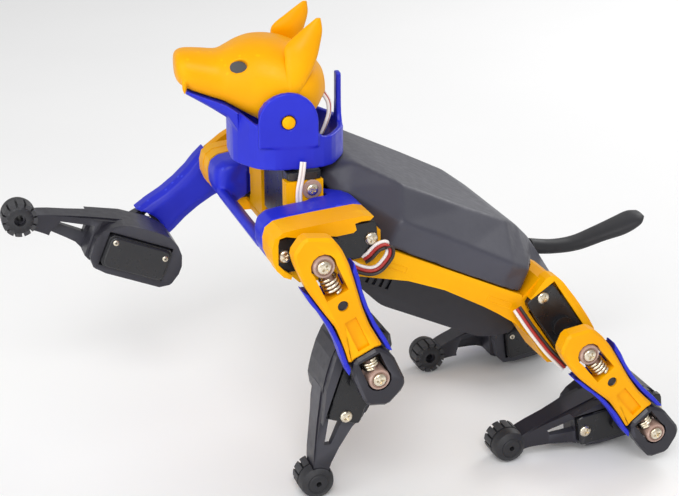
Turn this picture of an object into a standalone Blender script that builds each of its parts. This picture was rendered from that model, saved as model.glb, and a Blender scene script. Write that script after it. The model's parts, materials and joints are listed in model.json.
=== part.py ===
"""Small quadruped robot dog: a servo-driven body on four two-joint legs, with a turning neck.

Lengths are millimetres and angles are degrees; MM turns lengths into metres where meshes and
frames are made.
The body frame has X forward, Y to the robot's left and Z up its back, with its origin midway
between the front and rear hip axes. A leg piece is drawn for a left leg: X runs down the limb
from its joint, Y is the body's own Y, and Z is the limb's front side. Right legs mirror it.
"""
import math

import bmesh
import bpy
from mathutils import Matrix, Vector

MM = 0.001

# Stance
BODY_ORIGIN = (-15.7, 0, 65.27)
BODY_PITCH = 25.5
HIP_X = 48.2
THIGH = 42
SHANK = 44.3
KNEES_AND_HIPS = {
    "front_left": (HIP_X, 1, -139.6, 42.6),
    "front_right": (HIP_X, -1, -62.0, 59.7),
    "rear_left": (-HIP_X, 1, -154.7, 121.4),
    "rear_right": (-HIP_X, -1, -154.7, 121.4),
}
SERVO_TILT = 30.3
NECK_X = 38
NECK_PAN = -8

# Micro servo, measured from its output shaft
SERVO_NEAR_END = 5.6
SERVO_FAR_END = 16.2
SERVO_HALF_WIDTH = 5.6
SERVO_HEIGHT = 22.6
SERVO_EAR_NEAR = 10.2
SERVO_EAR_FAR = 21.2
SERVO_EAR_THICK = 2.4
SERVO_EAR_DROP = 3.8
SERVO_HOLE_NEAR = 7.8
SERVO_HOLE_FAR = 18.9
SERVO_HOLE_RADIUS = 0.9
GEAR_CASE_RADIUS = 5.5
SERVO_DOME = 2.2
SERVO_SHAFT = 1.8
GAP = 0.3

# Layers across a leg, outwards from the middle of the body
SERVO_LOW_Y = 23.6
SERVO_TOP_Y = SERVO_LOW_Y + SERVO_HEIGHT
EAR_TOP_Y = SERVO_TOP_Y - SERVO_EAR_DROP
EAR_LOW_Y = EAR_TOP_Y - SERVO_EAR_THICK
SEAT_Y = EAR_LOW_Y - GAP
COVER_LOW_Y = SERVO_TOP_Y + GAP
HORN_LOW_Y = SERVO_TOP_Y + SERVO_DOME + 0.4
PLATE_LOW_Y = 50.4
PLATE_TOP_Y = 55.2
HORN_TOP_Y = 55.6
SPRING_Y = 52.6
FOOT_Y = 35
RAIL_LOW_Y = 36.6
RAIL_TOP_Y = 40
BAND_TOP_Y = 43
LIP_TOP_Y = 44

# Horn, spring and slot at each leg joint
HUB_RADIUS = 3.3
SLOT_ROUND = 3.9
SLOT_HALF = 3.6
HIP_SLOT = 10.3
KNEE_SLOT = -8
ARM_RADIUS = 1.5
SPRING_START = 4.3
SPRING_RADIUS = 2.5
SPRING_WIRE = 0.45
SPRING_PITCH = 1.15
END_ROOM = 1.4
JOINT_CLEAR = 9.4

# Foot
FOOT_RADIUS = 5.0
TREAD_RADIUS = 5.9
FOOT_HALF_WIDTH = 5
TREADS = 8


# ---------------------------------------------------------------- shapes

def at(axis, a, b, height):
    """A point from its two coordinates across an axis and its height along that axis."""
    return {"X": (height, a, b), "Y": (a, height, b), "Z": (a, b, height)}[axis]


def arc(centre, radius, start, end, steps):
    """Points along a circle from one angle to another."""
    points = []
    for step in range(steps + 1):
        angle = math.radians(start + (end - start) * step / steps)
        points.append((centre[0] + radius * math.cos(angle), centre[1] + radius * math.sin(angle)))
    return points


def both_sides(half):
    """A closed outline from its upper half, mirrored in the first coordinate's axis."""
    return half + [(a, -b) for a, b in reversed(half)]


def rounded(outline, radius, steps=2):
    """The outline with its corners cut to short curves."""
    points = []
    for index, corner in enumerate(outline):
        corner = Vector(corner)
        before = Vector(outline[index - 1]) - corner
        after = Vector(outline[(index + 1) % len(outline)]) - corner
        reach = min(radius, before.length * 0.45, after.length * 0.45)
        start = corner + before.normalized() * reach
        end = corner + after.normalized() * reach
        for step in range(steps + 1):
            along = step / steps
            low = start.lerp(corner, along)
            high = corner.lerp(end, along)
            points.append(tuple(low.lerp(high, along)))
    return points


def inset(outline, distance):
    """The outline moved inwards by a distance, or outwards where it is negative."""
    count = len(outline)
    area = sum(
        outline[i][0] * outline[(i + 1) % count][1] - outline[(i + 1) % count][0] * outline[i][1]
        for i in range(count)
    )
    turn = 1 if area > 0 else -1
    points = []
    for index, corner in enumerate(outline):
        corner = Vector(corner)
        before = (corner - Vector(outline[index - 1])).normalized()
        after = (Vector(outline[(index + 1) % count]) - corner).normalized()
        first = Vector((-before.y, before.x)) * turn
        second = Vector((-after.y, after.x)) * turn
        middle = first + second
        shift = middle * (2 * distance / max(middle.length_squared, 0.5))
        points.append(tuple(corner + shift))
    return points


def mesh_of(vertices, faces):
    """A mesh in metres with its faces pointing out."""
    mesh = bpy.data.meshes.new("shape")
    mesh.from_pydata([Vector(vertex) * MM for vertex in vertices], [], faces)
    work = bmesh.new()
    work.from_mesh(mesh)
    bmesh.ops.recalc_face_normals(work, faces=work.faces)
    work.to_mesh(mesh)
    work.free()
    return mesh


def loft(rings):
    """A closed solid through rings of equal numbers of points."""
    size = len(rings[0])
    faces = [list(range(size))]
    for level in range(len(rings) - 1):
        low = level * size
        high = low + size
        for side in range(size):
            after = (side + 1) % size
            faces.append([low + side, low + after, high + after, high + side])
    faces.append(list(range((len(rings) - 1) * size, len(rings) * size)))
    return mesh_of([point for ring in rings for point in ring], faces)


def prism(outline, low, high, axis="Y"):
    """An outline carried straight along an axis."""
    return loft([[at(axis, a, b, height) for a, b in outline] for height in (low, high)])


def plate(outline, low, high, chamfer, axis="Y"):
    """A prism whose upper edge is chamfered."""
    inner = inset(outline, chamfer)
    rings = [(outline, low), (outline, high - chamfer), (inner, high)]
    return loft([[at(axis, a, b, height) for a, b in ring] for ring, height in rings])


def block(low, high):
    """A box between two corners."""
    outline = [(low[0], low[1]), (high[0], low[1]), (high[0], high[1]), (low[0], high[1])]
    return prism(outline, low[2], high[2], "Z")


def turned(profile, centre=(0, 0), axis="Y", steps=14):
    """A round solid from heights and radii along an axis."""
    rings = []
    for height, radius in profile:
        ring = arc(centre, radius, 0, 360, steps)[:-1]
        rings.append([at(axis, a, b, height) for a, b in ring])
    return loft(rings)


def cylinder(radius, low, high, centre=(0, 0), axis="Y", steps=14):
    return turned([(low, radius), (high, radius)], centre, axis, steps)


def coil(start, end, height, radius, wire, turns, steps=8, sides=4):
    """A coil spring along X at a height on Y."""
    rings = []
    for step in range(turns * steps + 1):
        angle = 2 * math.pi * step / steps
        along = start + (end - start) * step / (turns * steps)
        ring = []
        for side in range(sides):
            around = 2 * math.pi * side / sides
            out = radius + wire * math.cos(around)
            ring.append((
                along + wire * math.sin(around),
                height + out * math.cos(angle),
                out * math.sin(angle),
            ))
        rings.append(ring)
    return loft(rings)


def swept(route, width, thickness):
    """A flat ribbon along a route, wide across the Y axis' own plane and thin along it."""
    rings = []
    for index, point in enumerate(route):
        before = Vector(route[max(index - 1, 0)])
        after = Vector(route[min(index + 1, len(route) - 1)])
        ahead = (after - before).normalized()
        flat = Vector((0, 1, 0)) - ahead * ahead.y
        flat.normalize()
        thin = ahead.cross(flat)
        corners = ((1, 1), (1, -1), (-1, -1), (-1, 1))
        ring = [Vector(point) + flat * (a * width / 2) + thin * (b * thickness / 2) for a, b in corners]
        rings.append(ring)
    return loft(rings)


def smooth_route(points, per_leg=4):
    """Points of a smooth curve through the given ones."""
    route = []
    last = len(points) - 1
    for leg in range(last):
        p0 = Vector(points[max(leg - 1, 0)])
        p1 = Vector(points[leg])
        p2 = Vector(points[leg + 1])
        p3 = Vector(points[min(leg + 2, last)])
        for step in range(per_leg):
            t = step / per_leg
            route.append(
                0.5 * (2 * p1 + (p2 - p0) * t + (2 * p0 - 5 * p1 + 4 * p2 - p3) * t * t
                       + (3 * p1 - p0 - 3 * p2 + p3) * t ** 3)
            )
    route.append(Vector(points[last]))
    return route


def combined(operation, shape, tools):
    """One mesh from a shape and the tools, all of which are used up."""
    scene = bpy.context.scene.collection
    base = bpy.data.objects.new("base", shape)
    scene.objects.link(base)
    used = [base]
    for tool in tools:
        cutter = bpy.data.objects.new("tool", tool)
        scene.objects.link(cutter)
        used.append(cutter)
        modifier = base.modifiers.new(operation, "BOOLEAN")
        modifier.operation = operation
        modifier.solver = "MANIFOLD"
        modifier.object = cutter
    graph = bpy.context.evaluated_depsgraph_get()
    graph.update()
    mesh = bpy.data.meshes.new_from_object(base.evaluated_get(graph))
    for item in used:
        bpy.data.objects.remove(item)
    return mesh


def fused(shape, *others):
    return combined("UNION", shape, others)


def carved(shape, *cutters):
    return combined("DIFFERENCE", shape, cutters)


def moved(mesh, matrix):
    mesh.transform(matrix)
    if matrix.determinant() < 0:
        mesh.flip_normals()
    return mesh


def shift(x, y, z):
    return Matrix.Translation(Vector((x, y, z)) * MM)


def tilt(angle):
    """A turn in the XZ plane, from +X towards +Z."""
    return Matrix.Rotation(math.radians(-angle), 4, "Y")


MIRROR_Y = Matrix.Scale(-1, 4, (0, 1, 0))
MIRROR_X = Matrix.Scale(-1, 4, (1, 0, 0))
LEVEL_IN_BODY = tilt(-BODY_PITCH)


# ---------------------------------------------------------------- materials

def material(name, colour, roughness, metallic=0.0):
    made = bpy.data.materials.new(name)
    made.use_nodes = True
    shader = made.node_tree.nodes["Principled BSDF"]
    shader.inputs["Base Color"].default_value = (*colour, 1)
    shader.inputs["Roughness"].default_value = roughness
    shader.inputs["Metallic"].default_value = metallic
    made.diffuse_color = (*colour, 1)
    return made


def make_materials():
    return {
        "yellow_plastic": material("yellow_plastic", (1.0, 0.42, 0.005), 0.4),
        "blue_plastic": material("blue_plastic", (0.025, 0.035, 0.55), 0.4),
        "charcoal_plastic": material("charcoal_plastic", (0.035, 0.035, 0.045), 0.5),
        "servo_plastic": material("servo_plastic", (0.015, 0.015, 0.018), 0.35),
        "black_rubber": material("black_rubber", (0.018, 0.018, 0.02), 0.7),
        "horn_plastic": material("horn_plastic", (0.35, 0.26, 0.24), 0.35),
        "spring_steel": material("spring_steel", (0.75, 0.68, 0.55), 0.25, 1.0),
        "cable_jacket": material("cable_jacket", (0.5, 0.05, 0.04), 0.5),
        "circuit_board": material("circuit_board", (0.02, 0.12, 0.05), 0.5),
    }


# ---------------------------------------------------------------- servo

def servo():
    """A micro servo standing on its base, with its shaft along Z and its ears along X."""
    ear_top = SERVO_HEIGHT - SERVO_EAR_DROP
    case = prism(rounded(servo_outline(0), 1, 1), 0, ear_top - 0.2, "Z")
    ears = plate(rounded(ear_outline(-0.2), 1.6, 2), ear_top - SERVO_EAR_THICK, ear_top, 0.3, "Z")
    top = SERVO_HEIGHT + SERVO_DOME
    radius = GEAR_CASE_RADIUS
    gears = turned([(ear_top - 1, radius), (SERVO_HEIGHT, radius), (top, radius - 0.8)], axis="Z", steps=20)
    idler = cylinder(3.4, ear_top - 1, ear_top + 1.6, (6.2, 0), "Z", 14)
    shaft = cylinder(2.3, top - 1, top + SERVO_SHAFT, (0, 0), "Z", 8)
    plug = block((-SERVO_NEAR_END - 1.6, -3.2, 3), (-SERVO_NEAR_END + 1, 3.2, 6.5))
    holes = [cylinder(SERVO_HOLE_RADIUS, 0, SERVO_HEIGHT, (x, 0), "Z", 8)
             for x in (-SERVO_HOLE_NEAR, SERVO_HOLE_FAR)]
    return carved(fused(case, ears, gears, idler, shaft, plug), *holes)


def across_leg(mesh):
    """Turns a servo drawn upright so that its shaft points out along Y."""
    return moved(mesh, shift(0, SERVO_LOW_Y, 0) @ Matrix.Rotation(math.radians(-90), 4, "X"))


def hip_servo():
    return moved(across_leg(servo()), tilt(180 - SERVO_TILT))


def servo_outline(margin):
    """The servo's case across its shaft, from the shaft, with a margin all round."""
    return [
        (-SERVO_NEAR_END - margin, -SERVO_HALF_WIDTH - margin),
        (SERVO_FAR_END + margin, -SERVO_HALF_WIDTH - margin),
        (SERVO_FAR_END + margin, SERVO_HALF_WIDTH + margin),
        (-SERVO_NEAR_END - margin, SERVO_HALF_WIDTH + margin),
    ]


def ear_outline(margin):
    return [
        (-SERVO_EAR_NEAR - margin, -SERVO_HALF_WIDTH - margin),
        (SERVO_EAR_FAR + margin, -SERVO_HALF_WIDTH - margin),
        (SERVO_EAR_FAR + margin, SERVO_HALF_WIDTH + margin),
        (-SERVO_EAR_NEAR - margin, SERVO_HALF_WIDTH + margin),
    ]


# ---------------------------------------------------------------- leg pieces

def horn(reach):
    """A splined horn on the servo's shaft, with the arm that its spring is threaded on.

    A reach is the signed length of the slot from the joint: down the leg, or up it where negative.
    """
    hub = turned(
        [(HORN_LOW_Y, HUB_RADIUS), (HORN_TOP_Y - 0.4, HUB_RADIUS), (HORN_TOP_Y, HUB_RADIUS - 0.4)],
        steps=14,
    )
    arm_end = reach - math.copysign(END_ROOM, reach)
    start, end = sorted((math.copysign(2.5, reach), arm_end))
    arm = cylinder(ARM_RADIUS, start, end, (SPRING_Y, 0), "X", 8)
    bore = cylinder(2.6, HORN_LOW_Y - 1, SERVO_TOP_Y + SERVO_DOME + SERVO_SHAFT + 0.4, steps=8)
    return carved(fused(hub, arm), bore)


def spring(reach):
    start = math.copysign(SPRING_START, reach)
    end = reach - math.copysign(END_ROOM, reach)
    turns = round(abs(end - start) / SPRING_PITCH)
    return coil(start, end, SPRING_Y, SPRING_RADIUS, SPRING_WIRE, turns)


def slot(pivot, reach):
    """The window that a horn and its spring lie in."""
    direction = math.copysign(1, reach)
    round_end = arc((0, 0), SLOT_ROUND, 68, 292, 8)
    outline = round_end + [(abs(reach), -SLOT_HALF), (abs(reach), SLOT_HALF)]
    outline = [(pivot + direction * a, b) for a, b in outline]
    return prism(outline, PLATE_LOW_Y - 5, PLATE_TOP_Y + 5)


THIGH_OUTLINE = [
    (-7.8, 6.3), (-10.7, 1.2), (-6.4, -5.9), (-2.2, -6.9), (3.5, -6.95), (8.6, -6.3), (17.5, -5.0),
    (24, -4.6), (30, -5.1), (32.8, -5.4), (32.0, -4.0), (32.0, 4.4), (32.6, 5.8), (27, 5.1),
    (20, 4.6), (12.4, 6.0), (4.8, 7.2), (-3.5, 7.1),
]
KNEE_OUTLINE = [
    (32.4, -3.8), (35.2, -5.9), (37.6, -7.0), (47.2, -7.0), (49.4, -5.2), (51.7, 1.0), (48.4, 6.6),
    (46.0, 6.9), (37.8, 6.6), (35.0, 5.7), (32.4, 4.2),
]
PEG_X = 14.2
TONGUE_LOW_Y = 48.3
TONGUE_HALF = 3.2


def thigh_plate():
    """The outer plate of the thigh, with the window for the hip horn and its spring."""
    body = plate(rounded(THIGH_OUTLINE, 0.9, 1), PLATE_LOW_Y, PLATE_TOP_Y, 0.8)
    groove = block((19.4, PLATE_TOP_Y - 0.9, -1.9), (30, PLATE_TOP_Y + 2, 1.9))
    peg_hole = cylinder(1.7, PLATE_LOW_Y - 2, PLATE_TOP_Y + 2, (PEG_X, 0), steps=12)
    return carved(body, slot(0, HIP_SLOT), groove, peg_hole)


def knee_plate():
    """The black end of the thigh, with a tongue and a peg that hold the outer plate."""
    body = plate(rounded(KNEE_OUTLINE, 0.9, 1), PLATE_LOW_Y, PLATE_TOP_Y, 0.8)
    tongue = block((11.6, TONGUE_LOW_Y, -TONGUE_HALF), (34.4, PLATE_LOW_Y - GAP, TONGUE_HALF))
    root = block((32.8, TONGUE_LOW_Y, -TONGUE_HALF), (34.4, PLATE_LOW_Y + 1, TONGUE_HALF))
    peg = cylinder(1.35, PLATE_LOW_Y - 1, PLATE_TOP_Y - 0.8, (PEG_X, 0), steps=12)
    return carved(fused(body, tongue, root, peg), slot(THIGH, KNEE_SLOT))


COVER_HALF_WIDTHS = [(4, 8.6), (9, 8.1), (13, 7.2), (19, 6.6), (25, 6.6), (31, 7.3), (42, 7.7)]
COVER_WALL = 1.3
COVER_RIM_Y = 54.6


def channel(margin, low, rim, corner):
    """A round-bottomed trough along the thigh."""
    rings = []
    for along, half in COVER_HALF_WIDTHS:
        half -= margin
        section = [
            (rim, half), (low + corner, half), (low + 0.3 * corner, half - 0.3 * corner), (low, half - corner),
            (low, corner - half), (low + 0.3 * corner, 0.3 * corner - half), (low + corner, -half), (rim, -half),
        ]
        rings.append([(along, height, across) for height, across in section])
    return loft(rings)


def thigh_cover():
    """The blue trough that closes the inner side of the thigh over the servo lead."""
    outer = channel(0, COVER_LOW_Y, COVER_RIM_Y, 3.2)
    inner = channel(COVER_WALL, COVER_LOW_Y + COVER_WALL, COVER_RIM_Y + 5, 1.0)
    longer = Matrix.Diagonal((1.2, 1, 1, 1))
    inner = moved(inner, shift(-4, 0, 0) @ longer)
    hip_end = cylinder(JOINT_CLEAR, COVER_LOW_Y - 3, COVER_RIM_Y + 3, (0, 0), steps=20)
    knee_end = cylinder(JOINT_CLEAR, COVER_LOW_Y - 3, COVER_RIM_Y + 3, (THIGH, 0), steps=20)
    knee_room = prism(inset(KNEE_OUTLINE, -0.5), PLATE_LOW_Y - GAP, PLATE_TOP_Y + 3)
    plate_room = prism(inset(THIGH_OUTLINE, -GAP), PLATE_LOW_Y - GAP, PLATE_TOP_Y + 3)
    return carved(outer, inner, hip_end, knee_end, knee_room, plate_room)


def leg_cable():
    """The knee servo's lead where it runs down the trough."""
    route = [(12, 49.0, 4.6), (18, 49.1, 4.3), (24, 49.1, 4.25), (30, 49.1, 4.4), (32.4, 49.1, 4.5)]
    return swept(smooth_route(route, 2), 1.2, 0.7)


SHANK_BOX = [
    (-10.8, -4), (-8, -8.2), (15, -8.2), (19.6, -6.6), (20.2, 4), (15, 8.8),
    (9, 9.8), (0, 10), (-6, 8.6), (-10.8, 3),
]
SHANK_BEAM = [
    (11, 9.6), (24, 7.0), (37, 3.9), (41, 2.4), (44.3, 2.4), (44.3, -2.4), (41, -2.4), (36, -2.3),
    (22, -4.2), (19, -6.6), (11, -7.8),
]
SHANK_WINDOW = [(21.6, 4.4), (21.6, -0.2), (30.3, 0.4), (31.0, 2.4)]
SHANK_RECESS = [(20.6, 5.0), (31.5, 3.0), (33.5, -1.4), (33.5, -9), (20.6, -9)]
SHANK_WEB_Y = 37.4
SHANK_LIP = [(-6.4, 6.7), (18, 6.7), (23, 6.7), (11.5, 9.2), (0.4, 9.6), (-5.4, 8.3)]
SHANK_TAPER = [
    # x, low z, high z, low y, high y
    (9, -7.8, 9.4, 29.3, 40.6), (19, -6.4, 7.6, 29.3, 40.6), (23, -4.2, 6.8, 30.2, 40.4),
    (31, -2.8, 5.0, 31.2, 39.4), (40, -2.0, 2.6, 31.6, 38.4),
]
TIP_RADIUS = 3.1


def knee_servo():
    """The knee's servo, which lies along the shank."""
    return across_leg(servo())


def shank():
    """The shank: a box round the knee servo, a beam with a window, and a hub for the foot."""
    box = prism(rounded(SHANK_BOX, 2, 1), 25.2, SEAT_Y + 0.3)
    beam_low = prism(rounded(SHANK_BEAM, 1.5, 1), 31.4, 38.6)
    shoulder = loft([
        [(x, low_y, low_z), (x, high_y, low_z), (x, high_y, high_z), (x, low_y, high_z)]
        for x, low_z, high_z, low_y, high_y in SHANK_TAPER
    ])
    lip = prism(SHANK_LIP, SEAT_Y - 2.2, EAR_TOP_Y + 0.6)
    tip = cylinder(TIP_RADIUS, 32.6, 37.4, (SHANK, 0), steps=16)
    bore = cylinder(1.2, 30, 41, (SHANK, 0), steps=10)
    window = prism(SHANK_WINDOW, 20, 50)
    recess = prism(SHANK_RECESS, 20, SHANK_WEB_Y)
    pocket = prism(servo_outline(GAP), 20, 50)
    ears = prism(ear_outline(GAP), SEAT_Y, 50)
    lead = block((-12, 26.2, -3.6), (0, 30.6, 3.6))
    solid = fused(box, beam_low, shoulder, lip, tip)
    return carved(solid, pocket, ears, window, recess, bore, lead)


def foot():
    """A treaded rubber foot pushed over the hub at the end of the shank."""
    low, high = FOOT_Y - FOOT_HALF_WIDTH, FOOT_Y + FOOT_HALF_WIDTH
    steps = TREADS * 3
    rings = []
    for height, scale in ((low, 0.72), (low + 1.6, 0.98), (high - 1.6, 0.98), (high, 0.72)):
        ring = []
        for step in range(steps):
            radius = FOOT_RADIUS if step % 3 == 2 else TREAD_RADIUS
            angle = 2 * math.pi * step / steps
            ring.append((SHANK + scale * radius * math.cos(angle), height, scale * radius * math.sin(angle)))
        rings.append(ring)
    wheel = loft(rings)
    hub_room = cylinder(TIP_RADIUS + GAP, 32.6 - GAP, 37.4 + GAP, (SHANK, 0), steps=16)
    arm_room = prism([(30, 5.2), (37, 4.3), (41, 2.8), (SHANK, 2.8), (SHANK, -2.8), (30, -3.2)], 31.1, 38.9)
    bore = cylinder(1.9, low - 2, 33.5, (SHANK, 0), steps=12)
    spot = cylinder(0.8, 36, high + 2, (SHANK, 0), steps=8)
    return carved(wheel, hub_room, arm_room, bore, spot)


# ---------------------------------------------------------------- torso

RAIL = [
    (30, -3.4), (12.9, 0.3), (0, 1.2), (-15, 0.2), (-21, -0.5), (-28, -1.7), (-36, -4.5),
    (-28.6, 1.4), (-27.6, 5.8), (-26, 7.6), (20, 7.6), (30, 6.6),
]
SHOULDER = [
    (50.6, -9.5), (53.0, -9.6), (55.8, -8.5), (58.3, -6.1), (60.0, -2.8), (60.5, 0.2), (59.0, 2.9),
    (55.4, 5.3), (48.8, 9.2), (40.6, 13.9), (37.4, 15.7), (34.8, 16.3), (33.2, 15.8),
]
FRONT_WINDOW = [
    (35.4, 14.9), (37.8, 13.7), (39.4, 12.4), (38.1, 10.8), (38.6, 9.7), (43.2, 7.0), (46.2, 6.2),
    (49.8, 6.0), (52.6, 4.6), (54.4, 2.8), (57.6, 2.1), (59.2, 0.8), (58.8, -1.0), (56.2, -6.6), (53.6, -7.7),
    (50.8, -8.2),
]
FRONT_BLOCK = [
    (49.6, -9.4), (51.5, -8.0), (57.0, 1.3), (56.4, 2.9), (38.4, 13.5), (35.5, 14.0), (29.0, 12.4),
    (26.5, 7.4), (27, -2), (46, -10.6),
]
SHOULDER_LOW_Y = 33
REAR_BAND = [
    (-27.3, 7.0), (-28.0, 9.5), (-29.6, 16.6), (-31.5, 17.7), (-34.5, 17.2), (-43, 12.9), (-50, 8.8),
    (-55.2, 5.2), (-56.6, 1.6), (-54.5, 1.5), (-51.5, 5.2),
]
REAR_BLOCK = [
    (-26.6, 7.4), (-29, 14.6), (-32, 16.4), (-35, 16.2), (-56.5, 3.4), (-58.4, -1), (-57, -5.4),
    (-53, -8.3), (-46, -10.6), (-36, -4.5), (-27.5, 0),
]
SPINE_Y = 24.4


def side_frame():
    """One side of the frame: the rail and the brackets that hold the two hip servos."""
    rail = prism(RAIL, RAIL_LOW_Y, RAIL_TOP_Y)
    front = prism(FRONT_BLOCK, SPINE_Y, SEAT_Y + 0.3)
    shoulder = prism(inset(SHOULDER + [(31, 12), (31, -1), (46, -9)], 0.15), SHOULDER_LOW_Y, SEAT_Y - 0.4)
    rear = prism(REAR_BLOCK, SPINE_Y, SEAT_Y + 0.3)
    front_band = prism(SHOULDER[:-1] + FRONT_WINDOW, SEAT_Y - 1, LIP_TOP_Y)
    rear_band = prism(rounded(REAR_BAND, 1.2, 1), SEAT_Y - 1, BAND_TOP_Y)
    return fused(rail, front, shoulder, rear, front_band, rear_band)


def hip_room(x, direction):
    """The pockets for a hip servo's case and ears, which the front bracket's lip covers."""
    top = EAR_TOP_Y + GAP if direction > 0 else BAND_TOP_Y + 5
    case = prism(servo_outline(GAP), SPINE_Y - 4, top)
    ears = prism(ear_outline(GAP), SEAT_Y, top)
    plug = block((-9, SERVO_LOW_Y - 4, -3.6), (0, SERVO_LOW_Y + 7, 3.6))
    place = tilt(180 - SERVO_TILT)
    if direction < 0:
        place = MIRROR_X @ place
    place = shift(x, 0, 0) @ place
    return [moved(mesh, place) for mesh in (case, ears, plug)]


def neck_mount():
    """Posts under the neck servo's ears, drawn in the level frame of the neck."""
    top = 34.7
    posts = [
        block((32.4, 17.3, 12), (44.1, 21.2, top)),
        block((32.4, -21.2, 12), (44.1, -6.3, top)),
    ]
    return [moved(post, LEVEL_IN_BODY) for post in posts]


def body_frame():
    """The yellow frame: both sides, two cross members and the neck servo's posts."""
    left = side_frame()
    right = moved(left.copy(), MIRROR_Y)
    front_beam = block((27.4, -26, -2), (30.8, 26, 6.6))
    rear_beam = block((-33.4, -26, 3.2), (-29.6, 26, 6.6))
    floor = block((29, -26, -6.5), (46, 26, -4))
    frame = fused(left, right, front_beam, rear_beam, *neck_mount(), floor)
    cutters = []
    for x, direction in ((HIP_X, 1), (-HIP_X, -1)):
        for mesh in hip_room(x, direction):
            cutters.append(mesh)
            cutters.append(moved(mesh.copy(), MIRROR_Y))
    neck_case = block((NECK_X - SERVO_HALF_WIDTH - GAP, -SERVO_NEAR_END - GAP, 10),
                      (NECK_X + SERVO_HALF_WIDTH + GAP, SERVO_FAR_END + GAP, 60))
    cutters.append(moved(neck_case, LEVEL_IN_BODY))
    neck_plug = block((NECK_X - 3.6, -9, 10), (NECK_X + 3.6, 0, NECK_SERVO_LOW + 7))
    cutters.append(moved(neck_plug, LEVEL_IN_BODY))
    cutters.append(cover_body(-0.4, 0.2))
    return carved(frame, *cutters)


NECK_SERVO_LOW = 18.6


def neck_servo():
    """The neck's servo: upright in the level frame, with its long side across the body."""
    turn = Matrix.Rotation(math.radians(90), 4, "Z")
    return moved(servo(), LEVEL_IN_BODY @ shift(NECK_X, 0, NECK_SERVO_LOW) @ turn)


def electronics_tray():
    """The floor of the body, between the rails, that the circuit board is screwed to."""
    floor = block((-26.2, -36, 3.4), (26, 36, 5.2))
    posts = [cylinder(2.2, 4.6, 10.6, (x, y), "Z", 10) for x in (-22, 20) for y in (-24, 24)]
    return fused(floor, *posts)


def main_board():
    board = block((-25, -28, 10.9), (23, 28, 12.5))
    chips = [
        block((-8, -7, 12), (4, 5, 14)),
        block((10, -20, 12), (20, 14, 16)),
        block((-22, -22, 12), (-17, 22, 18)),
    ]
    return fused(board, *chips)


COVER_STATIONS = [
    # x, bottom z, half-width at the bottom, half-width and z of the crease, half-width and z of the top
    (42.2, 15.8, 14.0, 14.6, 18.6, 10.5, 21.0),
    (35.0, 11.8, 20.6, 21.0, 17.4, 17.5, 25.0),
    (24.0, 8.0, 39.5, 41.2, 17.0, 30.5, 26.0),
    (0.0, 8.0, 41.0, 42.4, 17.0, 29.5, 26.0),
    (-17.0, 8.0, 41.0, 42.2, 16.4, 26.5, 26.0),
    (-25.0, 8.0, 39.4, 39.0, 16.0, 21.0, 24.6),
    (-34.5, 9.0, 22.6, 22.8, 15.4, 15.5, 21.4),
    (-43.0, 9.0, 17.0, 17.2, 13.8, 10.5, 17.4),
    (-56.0, 7.6, 8.0, 8.4, 9.2, 5.0, 10.6),
]


def cover_body(wall, drop):
    """The back cover's solid form, thinner by a wall and carried down below its rim."""
    rings = []
    for x, bottom, low_half, crease_half, crease, top_half, top in COVER_STATIONS:
        section = [
            (low_half - wall, bottom - drop), (low_half - wall, bottom + 1.5), (crease_half - wall, crease),
            (top_half - wall * 0.5, top - wall),
        ]
        mirrored = [(-y, z) for y, z in reversed(section)]
        rings.append([(x, y, z) for y, z in section + mirrored])
    return loft(rings)


def back_cover():
    """The faceted shell over the back, open underneath."""
    inner = moved(cover_body(1.8, 30), Matrix.Diagonal((0.96, 1, 1, 1)))
    return carved(cover_body(0, 0), inner)


LOBE_MIDDLE = (46, 3)
LOBE_DOME = [
    # height on Y, scale about the lobe's middle
    (32.7, 0.995), (25.0, 0.995), (23.4, 0.96), (22.2, 0.9), (21.3, 0.8), (20.8, 0.62),
]
CHEST_STRIP = [
    (33.4, 15.7), (34.8, 16.2), (37.4, 15.6), (40.6, 13.8), (46.4, 10.5), (46.4, 8.8), (40, 12.3), (36, 14.4),
]
CHEST_BAR = [
    (57.4, -7.2), (55.4, -8.8), (50.8, -9.6), (49.4, -8.4), (51.6, -6.4), (55.4, -5.2), (57.0, -5.6),
]
NECK_OPENING = (53, 14.6, 21.5)


def chest_cover():
    """The blue collar: a dome over each hip servo, a strip behind the neck and a bar in front."""
    middle_x, middle_z = LOBE_MIDDLE
    rings = []
    for height, scale in LOBE_DOME:
        rings.append([(middle_x + scale * (x - middle_x), height, middle_z + scale * (z - middle_z))
                      for x, z in SHOULDER])
    lobe = loft(rings)
    other = moved(lobe.copy(), MIRROR_Y)
    block_room = prism(inset(FRONT_BLOCK, -0.45), SPINE_Y - 0.8, SEAT_Y + 5)
    other_room = moved(block_room.copy(), MIRROR_Y)
    strip = prism(CHEST_STRIP, -25.5, 25.5)
    bar = prism(CHEST_BAR, -23, 23)
    x, half_x, half_y = NECK_OPENING
    oval = [(x + a * half_x, b * half_y) for a, b in arc((0, 0), 1, 0, 360, 24)[:-1]]
    opening = prism(oval, -2, 60, "Z")
    posts = moved(block((31.4, -21.7, 8), (44.6, 21.7, 70)), LEVEL_IN_BODY)
    solid = fused(lobe, other, strip, bar)
    return carved(solid, block_room, other_room, opening, posts, cover_body(-0.5, 1))


TAIL_LINE = [
    # x, z, half-height, half-width
    (-46.5, 15.8, 2.6, 3.2), (-55, 18.4, 2.4, 3.4), (-63, 22.4, 2.4, 3.9), (-70.5, 28.6, 2.5, 4.6),
    (-76.5, 33.6, 2.2, 5.4), (-80.6, 38.0, 1.5, 5.2), (-82.6, 40.6, 0.7, 2.6),
]


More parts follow.
